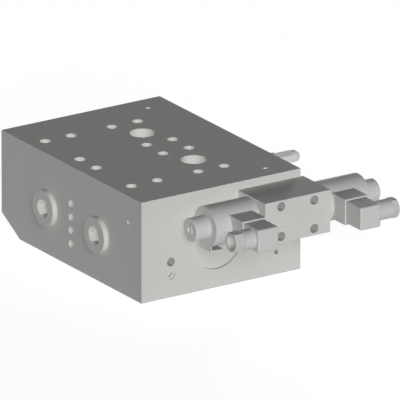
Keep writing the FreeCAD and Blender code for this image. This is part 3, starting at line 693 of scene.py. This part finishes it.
# Base colour = colour * tone; roughness = rough * tone; bump height = grain + marks * cutter marks
def makeFinish(name, given):
    settings = {**usualFinish, **given}
    material = bpy.data.materials.new(name)
    material.use_nodes = True
    tree = material.node_tree
    shader = tree.nodes["Principled BSDF"]
    shader.inputs["Specular IOR Level"].default_value = settings["specular"]
    shader.inputs["Metallic"].default_value = settings["metallic"]
    place = tree.nodes.new("ShaderNodeTexCoord")
    grain = tree.nodes.new("ShaderNodeGroup")
    grain.node_tree = grainGroup
    tree.links.new(place.outputs["Object"], grain.inputs["Vector"])
    for socket, key in (("Grain Scale", "grain"), ("Grain Tone", "grainTone"), ("Cloud Tone", "cloudTone")):
        grain.inputs[socket].default_value = settings[key]
    tint = tree.nodes.new("ShaderNodeVectorMath")
    tint.operation = "SCALE"
    tint.inputs[0].default_value = settings["colour"]
    tree.links.new(grain.outputs["Tone"], tint.inputs["Scale"])
    tree.links.new(tint.outputs[0], shader.inputs["Base Color"])
    rough = mathNode(tree, "MULTIPLY", grain.outputs["Tone"], settings["rough"])
    tree.links.new(rough, shader.inputs["Roughness"])
    height = grain.outputs["Height"]
    if settings["marks"]:
        cutter = tree.nodes.new("ShaderNodeGroup")
        cutter.node_tree = cutterGroup
        shift = addNode(tree, "ShaderNodeMapping", Location=cutterShift)
        tree.links.new(place.outputs["Object"], shift.inputs["Vector"])
        tree.links.new(shift.outputs[0], cutter.inputs["Vector"])
        marks = mathNode(tree, "MULTIPLY", cutter.outputs["Height"], settings["marks"])
        height = mathNode(tree, "ADD", height, marks)
    bump = addNode(tree, "ShaderNodeBump", Strength=settings["bump"], Distance=settings["depth"] * mm)
    tree.links.new(height, bump.inputs["Height"])
    tree.links.new(bump.outputs["Normal"], shader.inputs["Normal"])
    return material


finishes = {name: makeFinish(name, settings) for name, settings in finishSettings.items()}


# The piece's one material = the finish of its slot
def paint(piece, slotName):
    piece.data.materials.clear()
    piece.data.materials.append(finishes[slotName])


for name, node in nodes.items():
    paint(node, slotOfNode[name])
for piece in bpy.data.objects:
    if piece.type == "MESH" and "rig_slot" in piece:
        paint(piece, piece["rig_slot"])
print("finishes made:", len(finishes))


# Stage: a pale floor that stays white to the eye and keeps a faint shadow

# 1 for a ray from the camera or from a glossy or clear surface, else 0: the greatest of the three
def lookRays(tree):
    rays = tree.nodes.new("ShaderNodeLightPath")
    seen = mathNode(tree, "MAXIMUM", rays.outputs["Is Camera Ray"], rays.outputs["Is Glossy Ray"])
    return mathNode(tree, "MAXIMUM", seen, rays.outputs["Is Transmission Ray"])


floorSettings = {"half": 8.0, "drop": 0.0004, "glow": 0.86, "pale": 0.62}


# Floor = a square of +/- half at the part's lowest level - drop; its light = pale diffuse + look rays * glow
def makeFloor():
    half, level = floorSettings["half"], cadBox[0][2] - floorSettings["drop"]
    mesh = bpy.data.meshes.new("floor")
    corners = [(-half, -half, level), (half, -half, level), (half, half, level), (-half, half, level)]
    mesh.from_pydata(corners, [], [(0, 1, 2, 3)])
    floor = bpy.data.objects.new("floor", mesh)
    bpy.context.scene.collection.objects.link(floor)
    material = bpy.data.materials.new("paleFloor")
    material.use_nodes = True
    tree = material.node_tree
    tree.nodes.remove(tree.nodes["Principled BSDF"])
    matt = addNode(tree, "ShaderNodeBsdfDiffuse", Color=(floorSettings["pale"],) * 3 + (1.0,))
    glow = tree.nodes.new("ShaderNodeEmission")
    tree.links.new(mathNode(tree, "MULTIPLY", lookRays(tree), floorSettings["glow"]), glow.inputs["Strength"])
    both = tree.nodes.new("ShaderNodeAddShader")
    tree.links.new(matt.outputs[0], both.inputs[0])
    tree.links.new(glow.outputs[0], both.inputs[1])
    tree.links.new(both.outputs[0], tree.nodes["Material Output"].inputs["Surface"])
    mesh.materials.append(material)


# Light: a low soft key from beside the camera that casts no shadow, so that the walls of the holes stay
# light, a high key that does, a low fill for the sides that the photograph doesn't show, and a dim world

lightSettings = {
    "lowKey": {"towards": (-0.425, -0.905, 0.010), "strength": 0.64, "spread": 16.0, "shadow": False},
    "highKey": {"towards": (-0.351, -0.843, 0.407), "strength": 0.29, "spread": 22.0, "shadow": True},
    "fill": {"towards": (0.74, 0.66, 0.10), "strength": 0.58, "spread": 14.0, "shadow": True},
}
worldSettings = {"ambient": 0.02, "white": 1.0}


# Energy of a sun = strength * pi, so that a white matt surface facing it shows the strength
def makeLight(name, settings):
    lamp = bpy.data.lights.new(name, "SUN")
    lamp.energy = settings["strength"] * math.pi
    lamp.angle = math.radians(settings["spread"])
    lamp.use_shadow = settings["shadow"]
    light = bpy.data.objects.new(name, lamp)
    light.rotation_mode = "QUATERNION"
    light.rotation_quaternion = Vector(settings["towards"]).to_track_quat("Z", "Y")
    bpy.context.scene.collection.objects.link(light)


# World = ambient * (1 - look rays) + white * look rays
def makeWorld():
    world = bpy.data.worlds.new("studio")
    bpy.context.scene.world = world
    world.use_nodes = True
    tree = world.node_tree
    dim = tree.nodes["Background"]
    dim.inputs["Strength"].default_value = worldSettings["ambient"]
    white = addNode(tree, "ShaderNodeBackground", Strength=worldSettings["white"])
    dim.inputs["Color"].default_value = white.inputs["Color"].default_value = (1.0, 1.0, 1.0, 1.0)
    choice = tree.nodes.new("ShaderNodeMixShader")
    tree.links.new(lookRays(tree), choice.inputs["Fac"])
    tree.links.new(dim.outputs[0], choice.inputs[1])
    tree.links.new(white.outputs[0], choice.inputs[2])
    tree.links.new(choice.outputs[0], tree.nodes["World Output"].inputs["Surface"])


makeFloor()
for name, settings in lightSettings.items():
    makeLight(name, settings)
makeWorld()
print("stage and lights set")


# Camera: the photograph is a parallel view, so a very long lens stands far off at the same angle

cameraSettings = {
    "azimuth": -32.94,
    "elevation": 19.64,
    "frameWidth": 0.4132,  # metres across the picture
    "pictureSize": 400,
    "cornerPixel": (141.9, 202.9),  # the block's front top left corner in the picture
    "lens": 1700.0,
    "sensor": 36.0,
    "clipStart": 0.5,  # shares of the camera's distance
    "clipEnd": 3,
}


# Towards = (sin turn * cos rise, -cos turn * cos rise, sin rise); distance = frame width * lens / sensor;
# target = the block's corner + per pixel * shifts, moved along towards to the depth of the box's middle;
# camera = target + towards * distance
def makeCamera():
    size = cameraSettings
    turn, rise = math.radians(size["azimuth"]), math.radians(size["elevation"])
    towards = np.array([math.sin(turn) * math.cos(rise), -math.cos(turn) * math.cos(rise), math.sin(rise)])
    across = np.array([math.cos(turn), math.sin(turn), 0.0])
    upright = np.cross(towards, across)
    low, high = boxOf("valve_block")
    corner = np.array([low[0], low[1], high[2]])
    perPixel = size["frameWidth"] / size["pictureSize"]
    half = size["pictureSize"] / 2
    shiftX, shiftY = half - size["cornerPixel"][0], size["cornerPixel"][1] - half
    target = corner + perPixel * (shiftX * across + shiftY * upright)
    centre = np.mean(cadBox, axis=0)
    target = target + towards * (towards @ (centre - target))
    data = bpy.data.cameras.new("photoView")
    data.lens, data.sensor_width = size["lens"], size["sensor"]
    distance = size["frameWidth"] * size["lens"] / size["sensor"]
    data.clip_start, data.clip_end = distance * size["clipStart"], distance * size["clipEnd"]
    camera = bpy.data.objects.new("photoView", data)
    camera.rotation_mode = "QUATERNION"
    camera.location = target + towards * distance
    camera.rotation_quaternion = (-Vector(towards)).to_track_quat("-Z", "Y")
    bpy.context.scene.collection.objects.link(camera)
    bpy.context.scene.camera = camera


makeCamera()
bpy.context.scene.view_settings.view_transform = "Standard"

print("scene ready")
